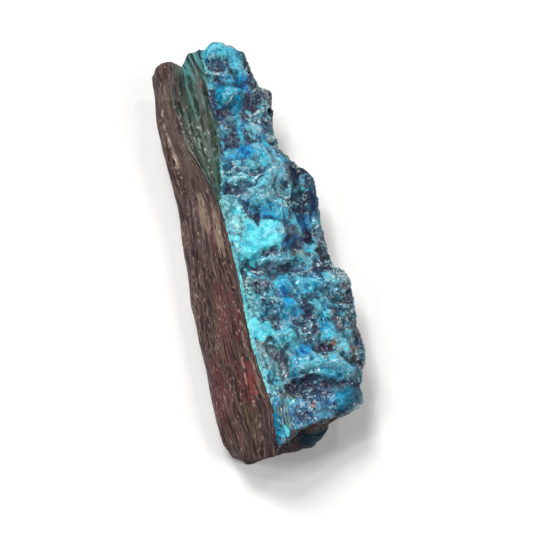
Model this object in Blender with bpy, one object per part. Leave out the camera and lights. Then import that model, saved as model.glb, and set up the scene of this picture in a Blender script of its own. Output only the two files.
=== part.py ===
"""Chrysocolla specimen: one piece of rough rock, lying on a flat cleaved base.

The long axis runs along Y, the base lies on Z = 0 and the origin is under the middle of the
stone's box. The dark, fibrous host rock makes the left side, which climbs to a sharp crest.
A crust of chrysocolla covers the upper face, from the crest over to the right shoulder.

The stone is carved from a block of 2 x 2 x 2 units. Plane cuts divide the block's skin into
a lattice, each lattice corner is carried to its place between named rails, and the lumps,
hollows, ridges and clefts of the rock are then raised or sunk along the surface normal.
"""
import math

import bmesh
import bpy
import numpy as np

MM = 0.001

# Lattice of plane cuts over the block's skin: cells across (X), along (Y) and up (Z)
CELLS = (18, 72, 12)

# Rails of the stone in millimetres. Each one runs the length of the stone, from the near end
# (-Y) to the far end (+Y), as rows of (y, x, z).
FOOT_LEFT = (
    (-24.0, -6.8, 0.0), (-22.2, -7.6, 0.0), (-10.0, -7.9, 0.0), (0.0, -7.6, 0.0),
    (10.0, -7.2, 0.0), (18.0, -7.4, 0.0), (24.6, -6.8, 0.0),
)
FLANK_LEFT = (  # the widest line of the left side, low down
    (-23.2, -8.5, 1.4), (-21.8, -9.4, 2.4), (-18.9, -9.6, 2.6), (-13.3, -9.5, 2.6),
    (-8.9, -9.7, 2.6), (-3.3, -9.6, 2.7), (3.6, -9.1, 2.8), (9.1, -8.7, 3.0),
    (13.0, -8.9, 3.0), (17.1, -9.0, 3.0), (21.3, -8.8, 3.0), (26.8, -8.5, 3.2),
)
BEVEL = (  # upper edge of the narrow bevel along the left side
    (-24.6, -7.9, 3.4), (-18.9, -8.9, 4.4), (-13.3, -8.8, 4.5), (-8.9, -8.8, 4.5),
    (-3.3, -8.7, 4.5), (3.6, -8.2, 4.5), (9.1, -7.8, 4.6), (13.0, -8.0, 4.6),
    (21.3, -8.3, 4.5), (27.0, -7.9, 4.4),
)
CREST = (  # the sharp edge where the left side meets the upper face
    (-25.8, -3.9, 6.2), (-24.6, -3.9, 8.6), (-20.5, -3.5, 10.0), (-12.9, -4.1, 10.0),
    (-3.7, -3.9, 10.0), (6.1, -4.2, 10.0), (8.9, -4.9, 9.8), (14.4, -6.6, 9.0),
    (21.3, -7.1, 8.4), (26.6, -6.2, 7.2),
)
SEAM = (  # seam between the host rock and the layered green rock at the far end
    (-25.5, -3.5, 7.2), (-20.5, -3.1, 10.1), (-12.9, -3.7, 10.2), (-3.7, -3.5, 10.2),
    (6.1, -3.9, 10.2), (9.2, -4.2, 10.0), (14.4, -5.0, 9.4), (21.3, -5.2, 9.2), (24.3, -4.9, 8.6),
)
CRUST_EDGE = (  # left edge of the blue crust, and of the knob at the far end
    (-25.1, -3.0, 7.7), (-20.5, -2.6, 10.2), (-12.9, -3.3, 10.4), (-3.7, -3.1, 10.4),
    (6.1, -3.4, 10.6), (9.5, -2.9, 10.6), (14.4, -2.3, 10.4), (20.0, -2.7, 10.4),
    (26.3, -3.8, 9.0),
)
RIDGE = (  # middle of the upper face
    (-23.3, -0.1, 8.2), (-12.0, 1.6, 9.6), (0.0, 1.6, 9.6), (12.0, 1.2, 9.6),
    (20.0, 0.4, 9.8), (26.7, -0.5, 9.2),
)
SHOULDER = (  # ragged right edge of the upper face
    (-22.3, 4.8, 6.2), (-21.6, 5.8, 6.0), (-20.4, 7.1, 5.6), (-18.4, 8.4, 5.2),
    (-15.8, 9.1, 5.2), (-12.6, 9.3, 5.2), (-9.6, 9.0, 5.2), (-7.8, 8.9, 5.2),
    (-6.2, 9.0, 5.2), (-4.4, 8.3, 5.4), (-2.0, 7.9, 5.4), (1.2, 7.8, 5.4), (3.9, 8.1, 5.4),
    (6.1, 8.3, 5.4), (8.2, 8.5, 5.6), (9.8, 7.4, 5.8), (11.3, 5.1, 6.0), (13.0, 4.3, 6.0),
    (15.7, 5.0, 6.0), (19.0, 5.6, 6.0), (20.3, 5.4, 6.0), (21.0, 3.9, 6.8), (22.2, 3.5, 7.2),
    (25.4, 3.1, 8.4),
)
FLANK_RIGHT = (
    (-21.6, 3.0, 3.0), (-19.8, 5.9, 3.4), (-16.0, 8.7, 3.6), (-12.5, 9.0, 3.8),
    (-9.0, 8.6, 3.8), (-6.1, 8.7, 3.8), (-1.6, 7.6, 3.8), (4.2, 7.8, 3.8), (8.0, 7.2, 3.8),
    (9.6, 6.4, 3.8), (11.3, 4.8, 4.0), (16.0, 4.5, 4.0), (20.2, 4.8, 4.0), (22.4, 3.2, 4.2),
    (24.4, 2.6, 4.4),
)
FOOT_RIGHT = (
    (-22.4, 1.8, 0.0), (-19.0, 4.8, 0.0), (-12.0, 7.2, 0.0), (-4.0, 6.8, 0.0),
    (4.0, 6.6, 0.0), (10.0, 4.6, 0.0), (20.0, 3.4, 0.0), (23.6, 2.0, 0.0),
)
FOOT_MIDDLE = ((-23.8, -2.8, 0.0), (25.2, -2.4, 0.0))

# Where the lumpy crust begins, right of the layered rock, as rows of (y, x)
CRUST_FROM = (
    (-25.1, -3.0), (-20.5, -2.6), (-12.9, -3.3), (-3.7, -3.1), (6.1, -3.4), (9.5, -2.9),
    (14.4, -2.3), (20.0, -2.5), (22.5, -2.3), (26.9, -2.0),
)

# Where each rail lies on the rim of the block's section: (cells across, cells up, rail)
RIM = (
    (0, 0, FOOT_LEFT), (0, 3, FLANK_LEFT), (0, 5, BEVEL), (0, 12, CREST), (2, 12, SEAM),
    (4, 12, CRUST_EDGE), (11, 12, RIDGE), (18, 12, SHOULDER), (18, 6, FLANK_RIGHT),
    (18, 0, FOOT_RIGHT), (9, 0, FOOT_MIDDLE),
)
RIM_LENGTH = 8.0
EDGE_ROUNDING = (  # (step round the rim, step along the stone, weight) of the averaged places
    (0.0, 0.0, 0.4), (-0.07, 0.0, 0.15), (0.07, 0.0, 0.15), (0.0, -0.012, 0.15), (0.0, 0.012, 0.15),
)

# Lumps and hollows of the upper face, in plan: (x, y, half width, half length, turn, height)
UPPER_FORMS = (
    (-0.2, 23.0, 3.2, 2.8, 0, 0.5),       # knob at the far end
    (-0.7, 23.4, 1.6, 1.5, 0, -1.3),      # scoop in the knob
    (-0.1, 19.2, 2.3, 1.7, 5, 1.0),       # rounded lobe below the knob
    (-0.9, 16.8, 1.3, 0.8, 10, -1.0),     # dark cleft below the lobe
    (4.0, 19.0, 1.4, 1.6, 0, 0.6),        # ledge of host rock at the far right
    (2.0, 15.1, 1.3, 1.1, 0, 0.5),
    (3.7, 13.6, 1.2, 1.6, 0, 0.5),
    (-0.1, 11.5, 2.2, 1.3, 0, 0.5),
    (-1.4, 8.9, 1.7, 1.5, 0, 0.3),
    (-1.6, 6.5, 1.8, 1.0, 0, -0.9),       # hollow in front of the slab's step
    (2.2, 6.0, 2.3, 2.5, 15, 0.6),        # lobe behind the curved lip
    (1.5, -6.8, 1.3, 1.1, 0, 0.5),
    (3.6, -6.0, 1.2, 1.0, 0, 0.5),
    (7.6, -5.9, 1.9, 2.2, -25, 0.8),      # bulge on the right edge
    (1.5, -9.2, 1.3, 1.2, 0, 0.6),
    (4.2, -9.4, 1.4, 1.2, 0, 0.6),
    (6.7, -10.4, 1.3, 1.1, 0, 0.5),
    (-1.2, -11.0, 1.0, 1.2, 0, 0.4),
    (5.2, -13.1, 1.5, 1.3, 0, 0.7),
    (7.8, -12.7, 1.1, 1.0, 0, 0.6),
    (2.1, -14.4, 1.3, 1.1, 0, 0.6),
    (-1.2, -16.2, 1.5, 3.8, 0, -1.0),     # striated hollow beside the crest
    (6.4, -20.6, 2.5, 2.0, -15, 0.8),     # knob at the near right corner
    (1.4, -21.2, 2.6, 1.2, 0, 0.4),
)

# Ridges and clefts of the upper face, in plan: (points, half width, height)
UPPER_LINES = (
    (((-3.4, -3.2), (-1.0, -4.2), (1.3, -4.4), (4.0, -3.4)), 1.1, -0.8),    # cleft across
    (((5.8, -7.2), (7.2, -7.8), (9.6, -8.0)), 1.0, -0.3),                   # notch under the bulge
    (((6.1, 9.0), (5.6, 4.5), (5.3, -0.4)), 0.9, -0.7),                     # lengthwise furrow
    (((0.9, -16.2), (3.0, -15.8), (4.8, -16.1), (6.6, -17.2)), 1.2, 0.6),   # pale ridge
    (((0.4, -18.8), (3.1, -18.7), (5.2, -18.9)), 1.1, -0.8),                # cleft under the ridge
)

# Ledges of the upper face, in plan: (points, run-out, height). The rock on the left of the
# walk from the first point to the last stands higher, and slopes back over the run-out.
UPPER_LEDGES = (
    (((4.4, 9.0), (2.1, 8.2), (0.7, 6.6), (-0.2, 4.6)), 2.6, 0.7),          # curved lip of the lobe
    (((0.6, 5.4), (-4.3, 5.6)), 3.0, 0.7),                                  # far edge of the slab
    (((-2.6, -3.4), (-0.3, -2.0), (2.7, -0.8), (3.4, 3.4)), 3.0, 0.5),      # near edge of the slab
    (((-2.3, 22.6), (-1.0, 21.9), (0.6, 22.3)), 1.2, 0.6),                  # lip under the scoop
    (((1.0, 28.0), (1.3, 22.0)), 1.8, 0.5),                                 # facet right of the scoop
    (((-2.4, 22.3), (-2.1, 28.0)), 1.6, 0.4),                               # facet left of the scoop
)
LEDGE_RISE = 0.3        # half of the distance over which a ledge climbs
WANDER_SIZE = (2.6, 2.6, 2.6)
WANDER = 0.7            # how far the outlines of the upper face's forms stray from smooth curves

# Forms of the sides and ends, in space: (x, y, z, reach, height)
SIDE_FORMS = (
    (-1.2, -23.8, 5.6, 2.2, -0.9),    # recess in the near end
    (1.7, -23.0, 2.2, 2.4, 1.4),      # blue bulge low on the near end
    (-0.6, -24.0, 1.4, 2.4, 0.9),
    (-3.2, -25.6, 5.4, 1.9, 0.5),
    (-6.0, -24.8, 3.0, 3.4, 0.3),
    (-6.6, 26.4, 6.0, 2.2, 0.5),
    (1.4, 25.2, 4.5, 2.8, 0.7),
    (7.8, 3.2, 2.2, 3.6, -0.9),
    (8.6, -10.6, 1.8, 3.6, -1.0),
    (4.8, 15.0, 2.0, 3.4, -0.8),
    (6.6, -17.6, 1.6, 2.6, 0.5),
    (-7.4, 13.0, 6.6, 2.8, -0.4),
    (-6.6, -6.0, 6.6, 4.0, -0.4),
    (-6.0, -19.0, 6.4, 3.0, 0.3),
)

# Natural texture: sizes and heights in millimetres
LUMP_SPACING = 2.2      # grape-like lumps of the crust
LUMP_HEIGHT = 0.8
LUMP_STRAY = ((1.6, 1.6, 1.6), 0.45)        # how the lumps stray from round: size, distance
CRUST_BREAK = ((3.0, 3.0, 3.0), 0.6)        # uneven growth of the crust: size, height
HOST_GRAIN = (((2.6, 11.0, 2.6), 0.35), ((1.6, 5.0, 1.6), 0.25))  # splinters: size, height
CRUST_LOWEST = 3.4      # the crust ends at this height on the right side
BASE_MARGIN = 1.2       # the relief's upward part fades in over this height above the base
SEED = 11
TABLE_SIZE = 64         # cells along each side of a repeating table of random numbers


def clear_scene():
    for thing in list(bpy.data.objects):
        bpy.data.objects.remove(thing, do_unlink=True)


def smooth_step(value, low, high):
    """0 below low, 1 above high, and an S-curve between."""
    share = np.clip((value - low) / (high - low), 0.0, 1.0)
    return share * share * (3.0 - 2.0 * share)


def rail_places(rail, share):
    """Points on a rail at the given shares (0 to 1) of its length along Y."""
    y, x, z = np.array(rail).T
    stations = (y - y[0]) / (y[-1] - y[0])
    return np.stack([np.interp(share, stations, row) for row in (x, y, z)], axis=-1)


def rim_distance(across, up):
    """Distance round the square rim: up the left side, over the top, down the right, back."""
    on_left = np.isclose(across, -1.0)
    on_top = np.isclose(up, 1.0)
    on_right = np.isclose(across, 1.0)
    return np.select([on_top, on_left, on_right], [across + 3.0, up + 1.0, 5.0 - up], 7.0 - across)


def section_place(distance, share, ring):
    """Point between two neighbouring rails, pulled towards the section's middle by ring < 1."""
    rows = np.array([(2.0 * i / CELLS[0] - 1.0, 2.0 * j / CELLS[2] - 1.0) for i, j, rail in RIM])
    knots = np.append(rim_distance(*rows.T), RIM_LENGTH)
    rails = [rail_places(rail, share) for i, j, rail in RIM]
    rails = np.stack(rails + rails[:1])
    distance = distance % RIM_LENGTH
    before = np.clip(np.searchsorted(knots, distance, side="right") - 1, 0, len(RIM) - 1)
    blend = ((distance - knots[before]) / (knots[before + 1] - knots[before]))[:, None]
    order = np.arange(len(distance))
    rim = rails[before, order] * (1.0 - blend) + rails[before + 1, order] * blend
    middle = rails[:-1].mean(axis=0)
    return middle + (rim - middle) * ring[:, None]


def stone_form(corners):
    """Carry lattice corners (-1 to 1 on each axis) to the stone's plain form, in mm."""
    across, along, up = corners.T
    ring = np.maximum(np.abs(across), np.abs(up))
    safe = np.maximum(ring, 1e-6)
    distance = rim_distance(across / safe, up / safe)
    share = (along + 1.0) / 2.0
    form = np.zeros_like(corners)
    for round_step, long_step, weight in EDGE_ROUNDING:
        moved = np.clip(share + long_step, 0.0, 1.0)
        form += weight * section_place(distance + round_step, moved, ring)
    form[:, 2] = np.where(up < -0.999, 0.0, np.maximum(form[:, 2], 0.0))
    return form


def dome(distance):
    """Rounded lump: 1 in the middle, 0 from distance 1 outwards."""
    return np.maximum(0.0, 1.0 - distance ** 2)


def upper_form_height(x, y):
    total = np.zeros_like(x)
    for centre_x, centre_y, half_width, half_length, turn, height in UPPER_FORMS:
        angle = math.radians(turn)
        dx = x - centre_x
        dy = y - centre_y
        side = (dx * math.cos(angle) + dy * math.sin(angle)) / half_width
        length = (dy * math.cos(angle) - dx * math.sin(angle)) / half_length
        total += height * dome(np.hypot(side, length))
    return total


def walk_along(x, y, points):
    """Plan distance to a polyline, positive on the left of its walking direction."""
    nearest = np.full_like(x, np.inf)
    signed = np.full_like(x, np.inf)
    for (ax, ay), (bx, by) in zip(points[:-1], points[1:]):
        ux = bx - ax
        uy = by - ay
        share = np.clip(((x - ax) * ux + (y - ay) * uy) / (ux * ux + uy * uy), 0.0, 1.0)
        distance = np.hypot(x - ax - share * ux, y - ay - share * uy)
        left = np.sign(ux * (y - ay) - uy * (x - ax))
        signed = np.where(distance < nearest, left * distance, signed)
        nearest = np.minimum(nearest, distance)
    return signed


def upper_line_height(x, y):
    total = np.zeros_like(x)
    for points, half_width, height in UPPER_LINES:
        total += height * dome(walk_along(x, y, points) / half_width)
    for points, run_out, height in UPPER_LEDGES:
        signed = walk_along(x, y, points)
        climb = smooth_step(signed, -LEDGE_RISE, LEDGE_RISE)
        total += height * climb * (1.0 - smooth_step(signed, 0.0, run_out))
    return total


def side_form_height(places):
    total = np.zeros(len(places))
    for x, y, z, reach, height in SIDE_FORMS:
        total += height * dome(np.linalg.norm(places - (x, y, z), axis=1) / reach)
    return total


def random_table(seed, width):
    return np.random.default_rng(seed).random((TABLE_SIZE,) * 3 + (width,))


def look_up(table, cells):
    return table[tuple((cells % TABLE_SIZE).T)]


def strayed(places, size, distance, seed):
    """Places moved by smooth random steps, so that forms drawn on them lose their round outlines."""
    steps = [uneven(places, size, seed + axis) for axis in range(3)]
    return places + distance * np.stack(steps, axis=-1)


def crust_lumps(places):
    """0 in the gaps to 1 on the tops of lumps grown from seeded centres, one to a cell."""
    size, distance = LUMP_STRAY
    places = strayed(places, size, distance, SEED + 7)
    table = random_table(SEED, 3)
    home = np.floor(places / LUMP_SPACING).astype(int)
    nearest = np.full(len(places), np.inf)
    for step in np.argwhere(np.ones((3, 3, 3))) - 1:
        cells = home + step
        centres = (cells + look_up(table, cells)) * LUMP_SPACING
        nearest = np.minimum(nearest, np.linalg.norm(places - centres, axis=1))
    return np.sqrt(np.maximum(0.0, 1.0 - (nearest / LUMP_SPACING) ** 2))


def uneven(places, size, seed):
    """Smooth random field from -1 to 1 with the given grain size along X, Y and Z."""
    table = random_table(seed, 1)
    scaled = places / size
    home = np.floor(scaled).astype(int)
    share = smooth_step(scaled - home, 0.0, 1.0)
    total = np.zeros(len(places))
    for step in np.argwhere(np.ones((2, 2, 2))):
        weight = np.prod(np.where(step == 1, share, 1.0 - share), axis=1)
        total += weight * look_up(table, home + step)[:, 0]
    return 2.0 * total - 1.0


def relief(places, normals):
    """Height of the rock's surface above the plain form, along the normal, in mm."""
    x, y, z = places.T
    facing_up = smooth_step(normals[:, 2], 0.05, 0.45)
    crust_left = np.interp(y, *np.array(CRUST_FROM).T)
    crust = smooth_step(x - crust_left, 0.0, 1.0) * smooth_step(z, CRUST_LOWEST - 1.0, CRUST_LOWEST)
    size, height = CRUST_BREAK
    growth = height * uneven(places, size, SEED + 1) + LUMP_HEIGHT * (crust_lumps(places) - 0.6)
    splinters = np.zeros_like(x)
    for number, (size, height) in enumerate(HOST_GRAIN):
        splinters += height * uneven(places, size, SEED + 2 + number)
    strayed_x = x + WANDER * uneven(places, WANDER_SIZE, SEED + 5)
    strayed_y = y + WANDER * uneven(places, WANDER_SIZE, SEED + 6)
    forms = upper_form_height(strayed_x, strayed_y) + upper_line_height(strayed_x, strayed_y)
    forms *= facing_up * smooth_step(x - crust_left, -1.0, 0.2)
    return forms + side_form_height(places) + crust * growth + (1.0 - crust) * splinters


def cut_block():
    """A cube whose skin is divided into lattice cells by plane cuts."""
    block = bmesh.new()
    bmesh.ops.create_cube(block, size=2.0)
    for axis, cells in enumerate(CELLS):
        normal = [0.0, 0.0, 0.0]
        normal[axis] = 1.0
        for cut in range(1, cells):
            point = [0.0, 0.0, 0.0]
            point[axis] = -1.0 + 2.0 * cut / cells
            skin = block.verts[:] + block.edges[:] + block.faces[:]
            bmesh.ops.bisect_plane(block, geom=skin, plane_co=point, plane_no=normal, dist=1e-5)
    return block


def place_corners(block, places):
    for corner, place in zip(block.verts, places):
        corner.co = place
    block.normal_update()


def rock_material():
    material = bpy.data.materials.new("chrysocolla_on_host_rock")
    material.use_nodes = True
    shader = material.node_tree.nodes["Principled BSDF"]
    shader.inputs["Base Color"].default_value = (0.02, 0.20, 0.28, 1.0)
    shader.inputs["Roughness"].default_value = 0.35
    shader.inputs["Metallic"].default_value = 0.0
    return material


def chrysocolla_specimen():
    block = cut_block()
    corners = np.array([corner.co[:] for corner in block.verts])
    form = stone_form(corners)
    place_corners(block, form)
    normals = np.array([corner.normal[:] for corner in block.verts])
    offset = normals * relief(form, normals)[:, None]
    offset[:, 2] *= smooth_step(form[:, 2], 0.0, BASE_MARGIN)
    places = form + offset
    middle = (places.min(axis=0) + places.max(axis=0)) / 2.0
    places[:, :2] -= middle[:2]
    place_corners(block, places * MM)
    bmesh.ops.triangulate(block, faces=block.faces[:])
    mesh = bpy.data.meshes.new("chrysocolla_specimen")
    block.to_mesh(mesh)
    block.free()
    stone = bpy.data.objects.new("chrysocolla_specimen", mesh)
    stone.data.materials.append(rock_material())
    bpy.context.scene.collection.objects.link(stone)
    return stone


clear_scene()
chrysocolla_specimen()
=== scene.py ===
"""Looks of the chrysocolla specimen: a long piece of host rock with a lumpy blue-green crust.

The stone's skin is one closed sheet, worked out as a grid of places round the section and
along the stone. Lengths in the tables are millimetres; the mesh is in metres.
"""
import functools
import math

import bpy
import numpy as np
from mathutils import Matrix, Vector


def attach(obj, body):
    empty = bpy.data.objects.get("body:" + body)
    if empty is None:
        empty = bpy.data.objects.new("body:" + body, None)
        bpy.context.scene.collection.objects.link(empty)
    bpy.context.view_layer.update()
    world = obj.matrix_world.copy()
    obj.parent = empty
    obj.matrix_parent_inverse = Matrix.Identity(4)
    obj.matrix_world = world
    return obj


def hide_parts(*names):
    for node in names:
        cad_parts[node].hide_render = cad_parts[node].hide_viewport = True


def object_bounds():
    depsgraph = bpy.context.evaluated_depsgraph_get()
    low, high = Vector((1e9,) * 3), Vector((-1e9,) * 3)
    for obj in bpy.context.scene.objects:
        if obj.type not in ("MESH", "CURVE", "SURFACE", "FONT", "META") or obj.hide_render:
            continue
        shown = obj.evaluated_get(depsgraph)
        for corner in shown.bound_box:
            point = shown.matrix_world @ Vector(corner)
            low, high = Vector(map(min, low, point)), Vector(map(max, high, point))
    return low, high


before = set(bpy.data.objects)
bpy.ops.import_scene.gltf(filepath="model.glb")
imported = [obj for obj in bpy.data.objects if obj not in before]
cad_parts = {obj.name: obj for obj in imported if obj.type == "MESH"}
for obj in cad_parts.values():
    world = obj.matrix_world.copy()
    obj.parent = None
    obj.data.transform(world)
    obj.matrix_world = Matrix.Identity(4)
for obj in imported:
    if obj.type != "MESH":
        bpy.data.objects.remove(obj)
CAD_LOW, CAD_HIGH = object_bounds()

MM = 0.001
NODE = "chrysocolla_specimen"

# ----------------------------------------
# The stone's plain form. Rails run its length, from the near end (-Y) to the far end (+Y), as
# rows of (y, x, z).
FOOT_LEFT = (
    (-24, -6.8, 0), (-22.2, -7.6, 0), (-10, -7.9, 0), (0, -7.6, 0),
    (10, -7.2, 0), (18, -7.4, 0), (24.6, -6.8, 0),
)
FLANK_LEFT = (  # the widest line of the left side, low down
    (-23.2, -8.5, 1.4), (-21.8, -9.4, 2.4), (-18.9, -9.6, 2.6), (-13.3, -9.5, 2.6),
    (-8.9, -9.7, 2.6), (-3.3, -9.6, 2.7), (3.6, -9.1, 2.8), (9.1, -8.7, 3),
    (13, -8.9, 3), (17.1, -9, 3), (21.3, -8.8, 3), (26.8, -8.5, 3.2),
)
BEVEL = (  # upper edge of the narrow bevel along the left side
    (-24.6, -7.9, 3.4), (-18.9, -8.9, 4.4), (-13.3, -8.8, 4.5), (-8.9, -8.8, 4.5),
    (-3.3, -8.7, 4.5), (3.6, -8.2, 4.5), (9.1, -7.8, 4.6), (13, -8, 4.6),
    (21.3, -8.3, 4.5), (27, -7.9, 4.4),
)
CREST = (  # the sharp edge where the left side meets the upper face
    (-25.8, -3.9, 6.2), (-24.6, -3.9, 8.6), (-20.5, -3.5, 10), (-12.9, -4.1, 10),
    (-3.7, -3.9, 10), (6.1, -4.2, 10), (8.9, -4.9, 9.8), (14.4, -6.6, 9),
    (21.3, -7.1, 8.4), (26.6, -6.2, 7.2),
)
SEAM = (  # seam between the host rock and the layered green rock at the far end
    (-25.5, -3.5, 7.2), (-20.5, -3.1, 10.1), (-12.9, -3.7, 10.2), (-3.7, -3.5, 10.2),
    (6.1, -3.9, 10.2), (9.2, -4.2, 10), (14.4, -5, 9.4), (21.3, -5.2, 9.2), (24.3, -4.9, 8.6),
)
CRUST_EDGE = (  # left edge of the blue crust, and of the knob at the far end
    (-25.1, -3, 7.7), (-20.5, -2.6, 10.2), (-12.9, -3.3, 10.4), (-3.7, -3.1, 10.4),
    (6.1, -3.4, 10.6), (9.5, -2.9, 10.6), (14.4, -2.3, 10.4), (20, -2.7, 10.4),
    (26.3, -3.8, 9),
)
RIDGE = (  # middle of the upper face
    (-23.3, -0.1, 8.2), (-12, 1.6, 9.6), (0, 1.6, 9.6), (12, 1.2, 9.6),
    (20, 0.4, 9.8), (26.7, -0.5, 9.2),
)
SHOULDER = (  # ragged right edge of the upper face
    (-22.3, 4.8, 6.2), (-21.6, 5.8, 6), (-20.4, 7.1, 5.6), (-18.4, 8.4, 5.2),
    (-15.8, 9.1, 5.2), (-12.6, 9.3, 5.2), (-9.6, 9, 5.2), (-7.8, 8.9, 5.2),
    (-6.2, 9, 5.2), (-4.4, 8.3, 5.4), (-2, 7.9, 5.4), (1.2, 7.8, 5.4), (3.9, 8.1, 5.4),
    (6.1, 8.3, 5.4), (8.2, 8.5, 5.6), (9.8, 7.4, 5.8), (11.3, 5.1, 6), (13, 4.3, 6),
    (15.7, 5, 6), (19, 5.6, 6), (20.3, 5.4, 6), (21, 3.9, 6.8), (22.2, 3.5, 7.2),
    (25.4, 3.1, 8.4),
)
FLANK_RIGHT = (
    (-21.6, 3, 3), (-19.8, 5.9, 3.4), (-16, 8.7, 3.6), (-12.5, 9, 3.8),
    (-9, 8.6, 3.8), (-6.1, 8.7, 3.8), (-1.6, 7.6, 3.8), (4.2, 7.8, 3.8), (8, 7.2, 3.8),
    (9.6, 6.4, 3.8), (11.3, 4.8, 4), (16, 4.5, 4), (20.2, 4.8, 4), (22.4, 3.2, 4.2),
    (24.4, 2.6, 4.4),
)
FOOT_RIGHT = (
    (-22.4, 1.8, 0), (-19, 4.8, 0), (-12, 7.2, 0), (-4, 6.8, 0),
    (4, 6.6, 0), (10, 4.6, 0), (20, 3.4, 0), (23.6, 2, 0),
)
FOOT_MIDDLE = ((-23.8, -2.8, 0), (25.2, -2.4, 0))

# Where the lumpy crust begins, as rows of (y, x): at its edge, and on the knob right of it
CRUST_FROM = (*(row[:2] for row in CRUST_EDGE[:-2]), (20, -2.5), (22.5, -2.3), (26.9, -2))

# Rim of the section: each rail's place, as the distance round a square with sides of 2, which
# starts at the left foot and goes up the left side, over the top and down the right side.
CREST_AT = 2.0
CRUST_EDGE_AT = 2.0 + 8.0 / 18.0
RIM = (
    (0, FOOT_LEFT), (0.5, FLANK_LEFT), (10.0 / 12, BEVEL), (CREST_AT, CREST),
    (2.0 + 4.0 / 18, SEAM), (CRUST_EDGE_AT, CRUST_EDGE), (2.0 + 22.0 / 18, RIDGE),
    (4, SHOULDER), (5, FLANK_RIGHT), (6, FOOT_RIGHT), (7, FOOT_MIDDLE),
)
RIM_LENGTH = 8.0
FOOT_AT = 6.0  # the flat base takes the rest of the rim
EDGE_ROUNDING = (  # steps round the rim and along the stone to the averaged places, and weights
    (0, 0, 0.4), (-0.07, 0, 0.15), (0.07, 0, 0.15), (0, -0.012, 0.15), (0, 0.012, 0.15),
)

# Grid of the skin: each stretch of the rim and its steps, and rows along the stone and each end
RIM_STEPS = ((0, CREST_AT, 62), (CREST_AT, CRUST_EDGE_AT, 20), (CRUST_EDGE_AT, 4, 92),
             (4, FOOT_AT, 56), (FOOT_AT, RIM_LENGTH, 30))
SIDE_ROWS = 320
END_ROWS = 28

# ----------------------------------------
# Relief. Lumps and hollows of the upper face, in plan:
# (x, y, half width, half length, turn, height)
UPPER_FORMS = (
    (-0.2, 23, 3.2, 2.8, 0, 0.5),  # knob at the far end
    (-0.7, 23.4, 1.6, 1.5, 0, -1.3),  # scoop in the knob
    (-0.1, 19.2, 2.3, 1.7, 5, 1),  # rounded lobe below the knob
    (-0.9, 16.8, 1.3, 0.8, 10, -0.6),  # dark cleft below the lobe
    (4, 19, 1.4, 1.6, 0, 0.6),  # ledge of host rock at the far right
    (2, 15.1, 1.3, 1.1, 0, 0.5),
    (3.7, 13.6, 1.2, 1.6, 0, 0.5),
    (-0.1, 11.5, 2.2, 1.3, 0, 0.5),
    (-1.4, 8.9, 1.7, 1.5, 0, 0.3),
    (-1.6, 6.5, 1.8, 1, 0, -0.9),  # hollow in front of the slab's step
    (2.2, 6, 2.3, 2.5, 15, 0.6),  # lobe behind the curved lip
    (1.5, -6.8, 1.3, 1.1, 0, 0.5),
    (3.6, -6, 1.2, 1, 0, 0.5),
    (7.6, -5.9, 1.9, 2.2, -25, 0.8),  # bulge on the right edge
    (1.5, -9.2, 1.3, 1.2, 0, 0.6),
    (4.2, -9.4, 1.4, 1.2, 0, 0.6),
    (6.7, -10.4, 1.3, 1.1, 0, 0.5),
    (-1.2, -11, 1, 1.2, 0, 0.4),
    (5.2, -13.1, 1.5, 1.3, 0, 0.7),
    (7.8, -12.7, 1.1, 1, 0, 0.6),
    (2.1, -14.4, 1.3, 1.1, 0, 0.6),
    (-1.2, -16.2, 1.5, 3.8, 0, -1),  # striated hollow beside the crest
    (6.4, -20.6, 2.5, 2, -15, 0.8),  # knob at the near right corner
    (1.4, -21.2, 2.6, 1.2, 0, 0.4),
)

# Ridges and clefts of the upper face, in plan: (points, half width, height)
UPPER_LINES = (
    (((-3.4, -3.2), (-1, -4.2), (1.3, -4.4), (4, -3.4)), 1.1, -0.8),  # cleft across
    (((5.8, -7.2), (7.2, -7.8), (9.6, -8)), 1, -0.3),  # notch under the bulge
    (((6.1, 9), (5.6, 4.5), (5.3, -0.4)), 0.9, -0.7),  # lengthwise furrow
    (((0.9, -16.2), (3, -15.8), (4.8, -16.1), (6.6, -17.2)), 1.2, 0.6),  # pale ridge
    (((0.4, -18.8), (3.1, -18.7), (5.2, -18.9)), 1.1, -0.8),  # cleft under the ridge
)
FINE_LINES = (
    (((-2.2, 22.6), (-1.5, 22.2), (-0.9, 21.9), (0.4, 22.1)), 0.22, 0.25),  # lip under the scoop
    (((4.4, 9), (2.2, 8.1), (0.7, 6.6), (-0.1, 4.8)), 0.22, 0.22),  # rim of the lobe
    (((0.4, 5.5), (-2.1, 5.5), (-4.2, 6)), 0.22, 0.22),  # rim of the slab
    (((-1.4, 15.8), (-0.9, 16), (-0.3, 16.1), (0.3, 16.2)), 0.22, 0.35),  # ridge below the cleft
    (((-0.7, 18), (0, 18.2), (0.5, 18.6)), 0.22, 0.15),
    (((5.9, -7.2), (7.2, -7.9), (9.4, -8.2)), 0.45, -0.15),
    (((-3.2, -3.4), (-1, -4.3), (1.4, -4.5)), 0.35, -0.3),
    (((7.4, 8.3), (6.9, 4), (6.4, -0.1)), 0.4, -0.35),
    (((5.9, 9.4), (5.5, 4.5), (5.2, -0.4)), 0.35, -0.35),
)

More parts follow.
